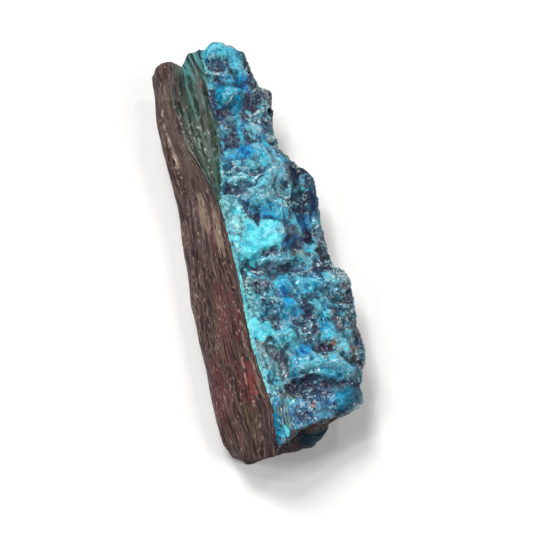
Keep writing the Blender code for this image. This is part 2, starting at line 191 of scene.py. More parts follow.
# Ledges of the upper face, in plan: (points, run-out, height). The rock on the left of the
# walk from the first point to the last stands higher, and slopes back over the run-out.
UPPER_LEDGES = (
    (((4.4, 9), (2.1, 8.2), (0.7, 6.6), (-0.2, 4.6)), 2.6, 0.7),  # curved lip of the lobe
    (((0.6, 5.4), (-4.3, 5.6)), 3, 0.7),  # far edge of the slab
    (((-2.6, -3.4), (-0.3, -2), (2.7, -0.8), (3.4, 3.4)), 3, 0.5),  # near edge of the slab
    (((-2.3, 22.6), (-1, 21.9), (0.6, 22.3)), 1.2, 0.6),  # lip under the scoop
    (((1, 28), (1.3, 22)), 1.8, 0.5),  # facet right of the scoop
    (((-2.4, 22.3), (-2.1, 28)), 1.6, 0.4),  # facet left of the scoop
)
LEDGE_RISE = 0.16  # half of the distance over which a ledge climbs
WANDER = 0.7  # how far the outlines of the upper face's forms stray from smooth curves
WANDER_SIZE = 2.6
UPPER_SLOPES = (0.05, 0.45)  # those forms fade in as the normal turns up, by its Z part,
UPPER_EDGE = (-1, 0.2)  # and over this distance right of the crust's left edge

# Forms of the sides and ends, in space: (x, y, z, reach, height)
SIDE_FORMS = (
    (-1.2, -23.8, 5.6, 2.2, -0.9),  # recess in the near end
    (1.7, -23, 2.2, 2.4, 1.4),  # blue bulge low on the near end
    (-0.6, -24, 1.4, 2.4, 0.9),
    (-3.2, -25.6, 5.4, 1.9, 0.5),
    (-6, -24.8, 3, 3.4, 0.3),
    (-6.6, 26.4, 6, 2.2, 0.5),
    (1.4, 25.2, 4.5, 2.8, 0.7),
    (7.8, 3.2, 2.2, 3.6, -0.9),
    (8.6, -10.6, 1.8, 3.6, -1),
    (4.8, 15, 2, 3.4, -0.8),
    (6.6, -17.6, 1.6, 2.6, 0.5),
    (-7.4, 13, 6.6, 2.8, -0.4),
    (-6.6, -6, 6.6, 4, -0.4),
    (-6, -19, 6.4, 3, 0.3),
)

# Natural texture: sizes and heights
LUMP_SPACING = 2.2  # grape-like lumps of the crust
LUMP_HEIGHT = 0.8
LUMP_LEVEL = 0.6  # share of a lump's height that lies at the plain form
LUMP_STRAY = (1.6, 0.45)  # how the lumps stray from round: size, distance
CRUMBS = (  # crumbs on the lumps: (spacing, stray size, stray, cleft width, cleft depth, doming)
    (1.30, 0.8, 0.40, 0.30, 0.07, 0.15),
    (0.60, 0.4, 0.18, 0.16, 0.02, 0.05),
)
CRUMB_CALM = 0.8  # share of the crumbs that is lost where the crust is smooth
CRINKLES = ((0.85, 0.15), (0.42, 0.02))  # sharp creases of the crust: size, height
CREASE_STRAY = 0.4  # how far they stray, as a share of their size
CREASE_LEVEL = 0.6  # share of their height that lies at the plain form
CRUST_BREAK = (3, 0.6)  # uneven growth of the crust: size, height
LIP_STRAY = 0.12  # how far the thin lips stray
LIP_STRAY_SIZE = 0.8
HOST_GRAIN = (((2.6, 11, 2.6), 0.35), ((1.6, 5, 1.6), 0.25))  # splinters: size, height
FIBRES = (((0.9, 8, 1), 0.12), ((0.4, 3, 1), 0.08), ((0.22, 1.4, 1), 0.04))
FIBRE_SCALE = 6.5  # mm round the side for each unit of the rim
CRUST_LOWEST = 3.4  # the crust ends at this height on the right side
BASE_MARGIN = 1.2  # the relief's upward part fades in over this height above the base
TABLE_SIZE = 64  # cells along each side of a repeating table of random numbers
TONE_MIX = (7, 13, 0)  # makes one random number of a centre's three
SEEDS = {"lumps": 11, "growth": 12, "splinters": 13, "forms": 16, "lump stray": 18, "crumbs": 31,
         "creases": 33, "fibres": 41, "patches": 51, "lips": 60, "crumb stray": 91, "crease stray": 106}

# ----------------------------------------
# Where each patch of the surface lies, in plan: turned ellipses (x, y, half width, half length,
# turn), outlines (points) and bands (points, half width)
ELLIPSES = {
    "bright": ((-2.2, 3.3, 0.6, 0.4, -25), (-2.2, -23.8, 0.2, 0.4, 5)),
    "navy": ((-0.9, 23.6, 1.2, 1.2, 0),),
    "cerulean": ((-1.1, 20, 0.6, 1.3, -10), (1.3, 20.5, 0.5, 1.1, -15)),
    "pale": ((-2.8, -8.5, 0.5, 1.8, 0), (-2.1, 23.4, 0.3, 1.4, 5)),
    "sky": (
        (5.6, -1.2, 0.6, 0.9, -40), (6.1, -2.7, 0.5, 0.3, 45), (1.2, -5.9, 1.1, 0.7, 35),
        (4.6, -6.4, 1.6, 0.9, -5), (5.3, -12.6, 1.1, 1.2, -5), (5.4, -10.2, 0.4, 0.4, 20),
        (7.4, -17.6, 0.7, 1, 0), (1.3, -9.3, 1.2, 1.1, 30), (0.6, -16.4, 0.8, 1, -25),
        (3, 11.6, 1.1, 1.8, -10), (0.2, 19.8, 0.6, 1.6, -15),
    ),
    "cobalt": (
        (2.2, 21.2, 0.6, 1.2, -15), (7.4, 4.9, 0.6, 2, -10), (2, -14.6, 0.8, 0.7, 15),
        (1.5, -9.1, 0.5, 0.8, 20), (1.4, -6.8, 0.6, 0.9, -10), (5.7, 2.4, 0.9, 1.4, 0),
        (3.5, -0.7, 1.2, 0.7, 10), (0.8, 2.4, 1, 0.2, -20),
    ),
    "dark": (
        (0.7, -2.1, 1.1, 0.6, 5), (-1.4, -6.1, 1.2, 1.2, -5), (3.8, 0.6, 0.7, 1.2, -35),
        (5.8, 0.7, 0.8, 0.6, 0), (7, -1.4, 0.4, 1.1, 0), (-0.9, 14, 0.8, 1.8, -10),
        (-1, 16.8, 1.1, 0.8, -30), (1.4, 16.2, 0.5, 0.8, -35), (-1.1, 22.7, 0.9, 0.3, -5),
        (0.9, 23, 0.2, 0.9, 5), (-1.1, 21.2, 0.6, 0.4, -20), (-1.5, 6.2, 1, 0.5, -30),
        (-2.3, 0.5, 0.5, 0.9, 10), (1.4, -18, 0.4, 0.8, -5), (4.3, -14.2, 1, 0.5, 10),
        (8.7, -12, 0.5, 1.3, 5), (4.2, -1.2, 0.5, 1.3, -45), (8.2, -7, 1.4, 0.4, -5),
        (-0.8, -10.9, 0.4, 0.9, 30), (-3.2, -4.1, 0.5, 0.8, -10), (3.7, -9.5, 0.5, 1.4, 20),
        (4.1, -11.7, 0.3, 1.2, -10), (-1.3, 9.3, 0.3, 0.7, 20),
    ),
    "olive": (
        (4.4, -2.2, 1, 0.5, -5), (-3.1, -5.8, 0.5, 1, 0),
        (-1.8, -22, 0.6, 1.3, -5),
    ),
    "brown": ((-0.6, -19, 1.5, 1.2, 10), (4.2, 20.4, 1.3, 0.8, -20)),
    "rust": (
        (6.9, -10.7, 0.2, 0.7, 10), (5.7, -14, 0.4, 0.2, 15), (7.9, -14.6, 0.4, 0.3, 10),
        (8, -15.8, 0.2, 0.8, 30), (8.5, -8.4, 0.4, 0.4, 30), (1.5, -21.2, 0.2, 0.35, -15),
    ),
    "lace": (
        (-0.9, 8.8, 1.4, 1.7, -15), (3.3, 16.1, 1.1, 1.9, -40), (-0.9, -8.1, 0.9, 0.8, -5),
        (2.9, -11.4, 0.7, 1, -10), (8.4, -9.2, 0.5, 1.2, -10), (5.4, -16.9, 1.3, 1, -5),
        (-0.2, -11.6, 0.7, 0.9, -5), (-1.7, -13.1, 1, 0.8, -35), (3.1, -19.6, 1.6, 1, 25),
        (0, 23.2, 0.6, 0.8, -40), (0.9, -3.1, 1.4, 0.7, -5), (1.3, -9.6, 0.9, 1.1, 35),
        (4.4, -14.7, 0.8, 1, 30), (0.2, -21.3, 0.9, 0.8, 10),
    ),
}
OUTLINES = {
    "bright": (
        ((-1.3, 2), (-0.9, 2.2), (-0.1, 1.5), (0.2, 2), (0.8, 2), (2.1, 1.8), (2.3, 1.3),
         (1.6, 1), (2.2, 0.3), (2.5, -0.3), (2.3, -1), (1.9, -1.3), (0.4, -1.4), (-0.5, -1.9),
         (-1, -3.1), (-1.6, -3.4), (-2.2, -2.7), (-2.8, -1.5), (-3.1, 0.1), (-3.1, 0.6),
         (-2.7, 0), (-2.3, -1), (-1.7, 1)),
        ((-3.5, -10.3), (-2.9, -10.3), (-2.5, -10.7), (-1.3, -11.2), (-1, -11.8), (-2.1, -12.5),
         (-3.3, -12.6), (-3.7, -12.3), (-3.8, -11.6)),
    ),
    "pale": (
        ((-4.1, 5.9), (-2.9, 5.3), (-2.1, 5.2), (-1.5, 4.3), (-1.7, 2.7), (-2.3, 2.8), (-2.8, 3.3),
         (-3.4, 3), (-2.5, 2.2), (-2.5, 1.6), (-3.4, 1.9), (-3.7, 3.3)),
        ((-3.6, 3.4), (-2.4, 4.4), (-1.4, 4.4), (-1.2, 2.9), (-0.8, 2.2), (-1.2, 0.5), (-1.5, -1.7),
         (-2.4, -2.6), (-2.9, -1.4), (-3.2, 0.6)),
        ((-3.3, -17.7), (-2.9, -18), (-2.3, -19.1), (-2.7, -20.4), (-3.1, -20.3), (-3.4, -18.5)),
    ),
    "sky": (
        ((0.8, 3.9), (3, 4), (3.8, 4), (4.1, 3.5), (3.8, 2.7), (2.9, 1.8), (1.4, 1.9),
         (0.4, 2.1), (1, 2.7)),
        ((4.2, -16), (5.2, -15.8), (7, -16.4), (6.8, -17.4), (6.1, -17.9), (4.9, -17.9),
         (3.2, -17.2)),
    ),
    "cobalt": (
        ((-1.2, 12.5), (-0.6, 12.2), (0.9, 12.5), (1.5, 11.8), (1.6, 11.1), (1, 10.7),
         (-0.5, 10.7), (-1.1, 10.3), (-1.8, 10.7), (-1.8, 11.1), (-1.2, 11.3), (-1.6, 11.8)),
    ),
    "lilac": (
        ((-0.7, -20.9), (0.3, -20.4), (1.3, -20.3), (3.3, -18.6), (4.4, -18.9), (4, -21),
         (3.6, -22.3), (1.8, -22.6), (-0.2, -23.3), (-0.9, -23.3), (-1.3, -21.5)),
    ),
    "aqua": (
        ((0.7, 26.2), (1.4, 26), (2, 25.6), (2.9, 25.4), (2.8, 24.2), (2.5, 22.4), (1.6, 22),
         (1.2, 23.5), (1.1, 24.1), (1.3, 24.5), (0.8, 25.2)),
        ((-2.2, 24.8), (-2, 27.5), (0.9, 27.5), (0.9, 25.8), (0.4, 25.2), (-1.2, 25.3)),
    ),
    # dusky: painted shade on the crust of the near end
    "dusky": (
        ((-2.4, -24), (-1.2, -23.7), (0.4, -23.4), (1.8, -22.9), (3.4, -22.9), (3.4, -27),
         (-2.4, -27)),
    ),
    "cerulean": (
        ((-2.1, 19.5), (-1.4, 19.1), (-1.1, 18.2), (-0.5, 17.8), (0.6, 18.2), (1.3, 19.9),
         (2, 19.7), (1.5, 17.4), (0.2, 16.4), (-0.2, 17.5), (-1.2, 17.7), (-1.9, 18.4)),
        ((4.5, -19.6), (5.5, -19.3), (7.8, -18.9), (7.9, -20.5), (6.9, -21.6), (5.3, -22.4),
         (4.6, -22.2), (4.2, -20.6)),
    ),
    "dark": (
        ((-2, -3.3), (-1, -3.7), (2.5, -3.6), (2.3, -4), (0.7, -4.4), (-1.4, -4.3)),
        ((2.1, 19.1), (2.9, 20), (4.2, 19.9), (5.1, 19.5), (5.2, 18.9), (3.8, 18.2), (1.6, 16.9)),
        ((7, 8.3), (7.3, 7.7), (6.9, 5.4), (6.4, 3.5), (5.9, 3.7), (6.5, 5.7)),
        ((4.8, 9.7), (6, 10.7), (6.4, 9.9), (6.5, 7.5), (5.7, 7.4), (4.8, 8)),
        ((-1.3, 4.7), (-0.9, 4.5), (-0.6, 2.9), (0, 2.6), (0, 1.8), (-1.2, 2.5)),
        ((2.2, -17.9), (3.7, -18), (6.3, -18.2), (6.3, -19.2), (4.1, -18.6), (1.9, -19)),
    ),
    "olive": (
        ((-3.3, -12.8), (-2.5, -12.7), (-0.9, -14.1), (-0.3, -15.4), (-0.2, -16.8), (-1.1, -17.5),
         (-2.7, -16.2), (-3.4, -13.7)),
    ),
    "lace": (
        ((2.8, -3.7), (4.5, -3.2), (6.4, -2.9), (7, -3.7), (6.4, -5.3), (4.8, -4.9), (3.1, -5.2)),
        ((2.6, 7.5), (4.1, 7.8), (5.1, 6.8), (5, 5.3), (3.7, 4.6), (2.9, 5.6)),
        ((7.9, -1.1), (8.1, -2.4), (9.2, -4.6), (9.3, -6.3), (8.3, -6.7), (7.4, -5.2), (7.2, -2.9)),
    ),
    "brick": (
        ((-5.05, -14.2), (-4.8, -15), (-4.7, -16.6), (-4.6, -18), (-4.85, -18.9), (-5.1, -18.6),
         (-5.15, -17)),
    ),
}
BANDS = {
    # The rim bands are painted highlights along the thin lips and edges
    "rim": (
        (((-2.1, 22.5), (-1.5, 22.2), (-0.9, 21.9), (-0.4, 22), (0.4, 22.1)), 0.09),
        (((4.1, 8.9), (2.7, 8.1), (1.6, 8.1), (1, 7.6), (0.4, 7), (0.1, 5.5)), 0.10),
        (((-2, 5.4), (-1.2, 5.4), (-0.3, 5.2)), 0.09),
        (((-1.4, 15.8), (-0.9, 16), (-0.3, 16.1), (0.3, 16.2)), 0.10),
        (((2.1, 16.6), (2.9, 17.4), (3.7, 17.7), (4.1, 17.9)), 0.08),
        (((-0.7, 18), (0, 18.2), (0.5, 18.6)), 0.04),
        (((-1.9, 19), (-1.6, 18.4), (-1.1, 17.9)), 0.05),
        (((-2, -3.7), (-1.1, -4.1), (-0.3, -4.5)), 0.07),
        (((2.6, 4.4), (3.3, 4.1), (4.3, 4.2), (5.1, 5.1)), 0.09),
        (((3.8, 5.3), (4.5, 5.4), (5.2, 5.9)), 0.07),
        (((2.2, -17.3), (3.6, -16.8), (4.9, -16.3), (6.2, -16.1)), 0.08),
    ),
    "bright": (
        (((-3.8, 1.3), (-3.4, 0.1), (-2.9, -1.3), (-2.5, -2.2)), 0.12),
        (((-2.9, -1.3), (-2.9, -2.6), (-2.6, -3.9)), 0.10),
    ),
    "vein": ((((-0.1, 17.3), (0.4, 15.5), (0.4, 13.3), (0.6, 12.5)), 0.22),),
    "fringe": (
        (((-5.2, -14), (-5.35, -15.5), (-5.3, -17.2), (-5.15, -19.2)), 0.06),
        (((-4.7, -17.6), (-4.6, -18.6), (-4.9, -19.4)), 0.05),
        # painted highlight along the upper edge of the left bevel, at the far end
        (((-8.3, 20.9), (-8.26, 17.6), (-7.8, 14.7), (-7.6, 12)), 0.05),
    ),
    "cerulean": ((((-3.1, -20.6), (-3.2, -23.2), (-3.3, -24.8)), 0.30),),
    "dark": ((((-2.2, 20), (-2.1, 17.6), (-2.1, 15), (-2.4, 12.6), (-2.7, 10.4)), 0.35),),
}
PATCH_WANDER = ((1.4, 0.30), (0.5, 0.14))  # size and distance by which their outlines stray
BAND_WANDER = 0.35  # share of that distance which the bands take
PATCH_GROW = 0.12  # the patches are drawn this much larger, to make up for frayed edges
PATCH_REACH = 1.5  # patches are worked out up to this distance from their outlines

# Zones of the skin, by the place round the rim (or, on the ends, the share of the way out to it)
# and by the place along the stone
CAP_CRUST_FROM = 0.93  # the crust laps this far over the near end
# Painted shade darkens the near end, out to this ring
CAP_SHADE_TO = 0.97  # the near end is darker up to here
CRUST_OVERLAP = 0.4  # the crust is this much wider on the near part, from the first place
CRUST_OVERLAP_RUN = (8.0, 4.0)  # to the second
FLANK_FROM = 3.78  # the crust's right side is darker from here
GREEN_FROM = 1.95  # green rock lies between these, beyond the start,
GREEN_TO = 3.7
GREEN_START = 4.0
GREEN_SHIFT = 0.35  # and its left border moves right over this run
GREEN_SHIFT_RUN = (14.0, 20.0)
STRIP_AT = 2.22  # middle of the bright strip beside the crest
STRIP_SCALE = 18.0 / 8.0  # mm for each unit of the rim there
STRIP_WIDTHS = ((-20.4, 0.06), (-15.0, 0.22), (-9.0, 0.30), (-5.0, 0.24), (0.0, 0.13), (5.6, 0.07))
STRIP_ENDS = ((-21.0, -20.0), (6.4, 5.4))  # it fades in from the first place of each pair
TEAL_BALLS = ((1.4, -22.8, 2.2, 2.0), (2.4, 24.6, 4.0, 2.4))  # stains on the ends, with reach

# Stains of the host rock: colour, then (distance round the side, y, half width, half length, turn)
HOST_STAINS = {
    "olive": ("#63523d", (10.4, 12.0, 1.6, 5.0, 0), (8.0, -9.0, 1.0, 6.0, 0),
              (11.0, 21.0, 1.6, 4.0, 0), (9.6, -21.0, 1.4, 3.0, 0)),
    "maroon": ("#612e2f", (9.6, -8.0, 2.4, 7.0, 0), (6.0, -17.0, 2.4, 6.0, 0),
               (10.0, 2.0, 0.8, 3.0, 0), (10.4, -17.0, 1.4, 4.0, 0)),
    "beige": ("#97806f", (11.6, 1.5, 0.9, 4.0, 0), (9.4, 5.0, 1.4, 3.5, 0),
              (12.4, -18.0, 0.5, 3.0, 0), (5.6, 16.0, 0.5, 5.0, 0)),
}

# ----------------------------------------
# Colours and finish. Random fields: what they follow, size across, size along (mm), detail
FIELDS = (
    ("broad", "solid", 3.2, 3.2, 2.0), ("middling", "solid", 1.3, 1.3, 3.0),
    ("small", "solid", 0.7, 0.7, 1.0), ("cluster", "solid", 1.8, 1.8, 1.0),
    ("crease", "solid", 0.9, 0.9, 3.0), ("crinkle", "solid", 0.45, 0.45, 1.0),
    ("strand", "fibre", 1.4, 9.0, 3.0), ("thread", "fibre", 0.42, 3.0, 4.0),
    ("hair", "fibre", 0.17, 1.3, 3.0), ("fleck", "fibre", 0.24, 0.8, 3.0),
    ("layer", "fibre", 0.6, 9.0, 3.0), ("streak", "fibre", 0.30, 4.0, 3.0),
)

# Tints of the crust, from the first laid on to the last: dark and light colour, the field of
# their mottling, how far their edges fray (mm), half the width of the edges (mm), and cover
TINTS = {
    "sky": ("#0a94c4", "#3ccbe8", "small", 1.2, 0.35, 0.9),
    "navy": ("#16304c", "#3a7f9c", "small", 1.0, 0.25, 0.92),
    "cobalt": ("#0868b4", "#18a8e6", "small", 1.2, 0.30, 0.95),
    "cerulean": ("#026484", "#0898c4", "small", 1.0, 0.25, 0.97),
    "olive": ("#2c3c40", "#94b0b0", "thread", 1.4, 0.15, 0.85),
    "brown": ("#2a2926", "#5c5544", "small", 1.6, 0.25, 0.85),
    # dusky: painted shade on the near end
    "dusky": ("#1f1b20", "#453f46", "crinkle", 1.0, 0.15, 0.95),
    "lilac": ("#1f4a84", "#4f90cc", "small", 1.2, 0.30, 0.85),
    "dark": ("#1b1726", "#454260", "crinkle", 1.6, 0.25, 0.9),
    "rust": ("#6e4222", "#bd7a3c", "crinkle", 1.0, 0.20, 0.85),
    "aqua": ("#2686a2", "#58bfd5", "small", 0.9, 0.15, 0.92),
    "pale": ("#4d8e94", "#84ced4", "crinkle", 1.6, 0.10, 0.9),
    "bright": ("#40bcd2", "#68e2ee", "middling", 1.1, 0.07, 1.0),
    # rim: painted highlight along the thin lips
    "rim": ("#8fd0dc", "#e4f4f6", "small", 0.35, 0.05, 0.85),
    "vein": ("#2387a8", "#3dacca", "small", 0.3, 0.06, 0.85),
}
HOST_TINTS = {
    # A cream fringe beside the brick patch, and a painted highlight along the bevel
    "fringe": ("#8f7c70", "#d8ccbc", "thread", 0.9, 0.06, 0.8),
    "brick": ("#5c2529", "#8a3d3b", "thread", 1.6, 0.16, 0.8),
}
# Every patch; the lace has no colour of its own, but the painted glints (pale wires) and the painted
# shade in the pits are thicker there
PATCHES = {**TINTS, **HOST_TINTS, "lace": (None, None, None, 1.2, 0.35, 1.0)}
EDGES = {  # how far each edge frays (mm), where it begins and is full (mm), and cover
    **{name: (fray, -edge, edge, cover) for name, (*_, fray, edge, cover) in PATCHES.items()},
    "crust": (0.8, -0.06, 0.06, 1.0), "strip": (0.35, -0.05, 0.05, 1.0),
    "flank": (2.0, -0.1, 0.6, 0.75), "teal": (2.0, -0.3, 0.5, 0.85),
}

# How smooth the crumbs are on a tint, and the stretch across its outline (mm) that this takes
CALM = {"bright": 1.0, "pale": 0.8, "cerulean": 0.9, "sky": 0.5, "cobalt": 0.4, "navy": 0.7,
        "olive": 0.7, "aqua": 1.0}
CALM_RUN = (-0.2, 0.25)
# The rim among them is a painted highlight along the thin lips
CHALKY = ("pale", "rim", "aqua", "vein")  # tints that are dull, as the bright one is
# The lumps entry spares the painted shade in the gaps and the painted highlight on the tops; the crumbs
# entry spares the painted shade in the pits and the painted glints.
SPARED = {  # how much less of the dark and pale lumps, of the crumbs or of the gloss a tint takes
    "lumps": {"cerulean": 0.7, "dusky": 0.7},
    "crumbs": {"cobalt": 0.9, "cerulean": 0.95, "sky": 0.5, "olive": 0.8, "vein": 1.0, "dark": 0.3,
               "dusky": 0.8, "aqua": 0.8},
    "gloss": {"cobalt": 1.0, "cerulean": 1.0, "dusky": 0.8, "sky": 0.4, "dark": 0.6},
}
# Shades laid over the crust: (what they follow, its value at none and at full, cover, colour). The last
# follows how far a place stands above the blurred relief, and is a painted highlight on the tops of the
# lumps.
BLUISH = (0.50, 0.66, 0.8)
CRUST_LAYERS = (
    ("broad", 0.46, 0.34, 0.6, "#24868c"), ("broad", *BLUISH, "#1288c4"),
    ("small", 0.54, 0.70, 0.45, "#6ccddc"), ("deep", -0.02, -0.25, 0.6, "#70dcee"),
)
# Painted shading: one side of each crease lighter and the other darker, as lit and shaded faces
CREASE_LIT_AND_SHADED_SIDES = (("crease", 0.10, 0.10), ("crinkle", 0.12, 0.05))  # field, half its range, tone
# Painted shade in the gaps between the lumps, and painted highlight on their tops:
LUMP_SHADE_AND_HIGHLIGHT = ((0.88, 0.58, 0.55, "#1b4059"), (0.88, 1.02, 0.36, "#74dcee"))  # gaps, and tops
LUMPS_FADE = (15.0, 18.0)  # they fade out over this run along the stone
# The wires are ridges in the bump, and painted glints in the colour
WIRES = (("crease", 0.036), ("crinkle", 0.016))  # field, half of the range that a wire takes
FACETS = ((0.9, 0.8), (0.38, 0.6))  # small glassy faces of the crust: spacing, slope
FACET_STRAY = 0.35  # how far their edges stray
WIRE_HEIGHT = 0.07
PIT_DEPTH = 0.10
THREAD_HEIGHT = 0.05
GLOSS = (("Roughness", -0.15, 0.60), ("Coat Weight", 0.88, 0.12))  # change with gloss, and least
FINISH = {"Coat Roughness": 0.05, "Coat IOR": 1.5, "IOR": 1.5, "Specular IOR Level": 0.12}

# Settings of the nodes
EASED = {"interpolation_type": "SMOOTHSTEP"}
COLOURS = {"data_type": "RGBA"}
TIMES, TIMES_PLUS, LESS, LARGER = [
    {"operation": name} for name in ("MULTIPLY", "MULTIPLY_ADD", "SUBTRACT", "MAXIMUM")]

# ----------------------------------------
# Studio, in metres: lamps (place, width, watts), floor and camera
LAMPS = (
    ("softbox over the far side", (-0.10, 0.35, 0.50), 0.24, 2.6),
    ("softbox on the near right", (0.36, -0.20, 0.42), 0.20, 1.4),
    ("small lamp on the right", (0.28, 0.18, 0.50), 0.05, 0.3),
    ("softbox on the left", (-0.38, 0.0, 0.44), 0.16, 0.9),
    ("small lamp behind", (0.06, 0.44, 0.36), 0.04, 0.2),
    ("small lamp above", (-0.16, 0.12, 0.56), 0.05, 0.35),
)
FLOOR = 3.0
AZIMUTH = -12.0
ELEVATION = 68.0
DISTANCE = 260.0 * MM
AIM = Vector((0.9, -2.85, 5.0)) * MM
LENS = 142.8


def smooth_step(value, low, high):
    """0 below low, 1 above high, and an S-curve between."""
    share = np.clip((value - low) / (high - low), 0.0, 1.0)
    return share * share * (3.0 - 2.0 * share)


# ----------------------------------------
# Plain form


def rail_places(rail, share):
    """Points on a rail: its rows joined by straight runs, at shares (0 to 1) of its Y range."""
    y, x, z = np.array(rail).T
    stations = (y - y[0]) / (y[-1] - y[0])
    return np.stack([np.interp(share, stations, row) for row in (x, y, z)], axis=-1)


def section_place(distance, share, ring):
    """Point between the two rails next to it on the rim, pulled towards the middle by ring."""
    knots = np.array([place for place, rail in RIM] + [RIM_LENGTH])
    rails = [rail_places(rail, share) for place, rail in RIM]
    rails = np.stack(rails + rails[:1])
    distance = distance % RIM_LENGTH
    before = np.clip(np.searchsorted(knots, distance, side="right") - 1, 0, len(RIM) - 1)
    blend = ((distance - knots[before]) / (knots[before + 1] - knots[before]))[:, None]
    order = np.arange(len(distance))
    rim = rails[before, order] * (1.0 - blend) + rails[before + 1, order] * blend
    middle = rails[:-1].mean(axis=0)
    return middle + (rim - middle) * ring[:, None]


def on_base(distance, ring):
    """The flat base: the last stretch of the rim, without the end caps."""
    return ((distance >= FOOT_AT) | (distance <= 0.0)) & (ring > 0.999)


def rounded_form(distance, share, ring):
    """The plain form: section_place averaged over a small cross, which rounds its edges."""
    form = 0.0
    for round_step, long_step, weight in EDGE_ROUNDING:
        moved = np.clip(share + long_step, 0.0, 1.0)
        form = form + weight * section_place(distance + round_step, moved, ring)
    form[:, 2] = np.where(on_base(distance, ring), 0.0, np.maximum(form[:, 2], 0.0))
    return form


def skin_grid():
    """Grid lines: places round the rim, and for each row its share of the length and its ring.

    The rows start at the near end's middle (ring 0), run out over the end to the rim (ring 1),
    along the stone, and back to the middle of the far end."""
    stretches = [np.linspace(low, high, steps, endpoint=False) for low, high, steps in RIM_STEPS]
    out = np.linspace(0.0, 1.0, END_ROWS, endpoint=False)
    share = np.concatenate([np.zeros(END_ROWS), np.linspace(0.0, 1.0, SIDE_ROWS), np.ones(END_ROWS)])
    ring = np.concatenate([out, np.ones(SIDE_ROWS), out[::-1]])
    return np.concatenate(stretches), share, ring


def grid_normals(places, grid):
    """Unit normals of a grid (rows, round) of places: the cross product of its two tangents."""
    places = places.reshape(*grid, 3)
    round_step = np.roll(places, -1, axis=1) - np.roll(places, 1, axis=1)
    normals = np.cross(round_step, np.gradient(places, axis=0))
    normals /= np.maximum(np.linalg.norm(normals, axis=-1, keepdims=True), 1e-9)
    normals[0] = (0.0, -1.0, 0.0)
    normals[-1] = (0.0, 1.0, 0.0)
    return normals.reshape(-1, 3)


def blurred(grid, reach):
    """Mean of a grid over a square of 2 * reach + 1 places."""
    for axis in (0, 1):
        grid = np.mean([np.roll(grid, step, axis) for step in range(-reach, reach + 1)], axis=0)
    return grid


# ----------------------------------------
# Fields of height


def dome(distance):
    """Rounded lump: 1 in the middle, 0 from distance 1 outwards, by 1 - distance squared."""
    return np.maximum(0.0, 1.0 - distance ** 2)


def plan_distance(x, y, centre_x, centre_y, half_width, half_length, turn):
    """Distance from the middle of a turned ellipse, 1 on its outline."""
    angle = math.radians(turn)
    dx = x - centre_x
    dy = y - centre_y
    side = (dx * math.cos(angle) + dy * math.sin(angle)) / half_width
    length = (dy * math.cos(angle) - dx * math.sin(angle)) / half_length
    return np.hypot(side, length)


def walk_along(x, y, points):
    """Plan distance to a polyline, positive on the left of its walking direction."""
    nearest = np.full_like(x, np.inf)
    signed = np.full_like(x, np.inf)
    for (ax, ay), (bx, by) in zip(points[:-1], points[1:]):
        ux = bx - ax
        uy = by - ay
        share = np.clip(((x - ax) * ux + (y - ay) * uy) / (ux * ux + uy * uy), 0.0, 1.0)
        distance = np.hypot(x - ax - share * ux, y - ay - share * uy)
        left = np.sign(ux * (y - ay) - uy * (x - ax))
        signed = np.where(distance < nearest, left * distance, signed)
        nearest = np.minimum(nearest, distance)
    return signed


def outline_reach(x, y, points):
    """Distance inside a closed outline, below 0 outside: the sign comes from how often a line
    to the right of the place meets the outline."""
    inside = np.zeros(len(x), bool)
    for (ax, ay), (bx, by) in zip(points, points[1:] + points[:1]):
        if ay != by:
            crosses = (ay > y) != (by > y)
            inside ^= crosses & (x < ax + (y - ay) * (bx - ax) / (by - ay))
    distance = np.abs(walk_along(x, y, points + points[:1]))
    return np.where(inside, distance, -distance)


def line_height(x, y, lines):
    """Sum of ridges and clefts: a dome across each polyline."""
    return sum(height * dome(walk_along(x, y, points) / half_width)
               for points, half_width, height in lines)


def upper_form_height(x, y):
    """Sum of the upper face's forms: a dome for each lump or hollow, a dome across each line,
    and for each ledge a quick climb across it and then a slow slope back."""
    total = line_height(x, y, UPPER_LINES)
    for *ellipse, height in UPPER_FORMS:
        total += height * dome(plan_distance(x, y, *ellipse))
    for points, run_out, height in UPPER_LEDGES:
        signed = walk_along(x, y, points)
        climb = smooth_step(signed, -LEDGE_RISE, LEDGE_RISE)
        total += height * climb * (1.0 - smooth_step(signed, 0.0, run_out))
    return total


def side_form_height(places):
    """Sum of the domes of the sides and ends."""
    return sum(height * dome(np.linalg.norm(places - middle, axis=1) / reach)
               for *middle, reach, height in SIDE_FORMS)


def random_table(seed, width):
    """Seeded random numbers from 0 to 1: so many (width) in each cell of a cube of cells."""
    return np.random.default_rng(seed).random((TABLE_SIZE,) * 3 + (width,))


def look_up(table, cells):
    """The numbers of the given cells, as the cube repeats on and on."""
    return table[tuple((cells % TABLE_SIZE).T)]


def uneven(places, size, seed):
    """Smooth random field from -1 to 1: seeded values at grid corners, blended by S-curves."""
    table = random_table(seed, 1)
    scaled = places / size
    home = np.floor(scaled).astype(int)
    share = smooth_step(scaled - home, 0.0, 1.0)
    total = np.zeros(len(places))
    for step in np.argwhere(np.ones((2, 2, 2))):
        weight = np.prod(np.where(step == 1, share, 1.0 - share), axis=1)
        total += weight * look_up(table, home + step)[:, 0]
    return 2.0 * total - 1.0


def strayed(places, size, distance, seed):
    """Places moved by smooth random steps, so that forms drawn on them lose round outlines."""
    steps = [uneven(places, size, seed + axis) for axis in range(3)]
    return places + distance * np.stack(steps, axis=-1)


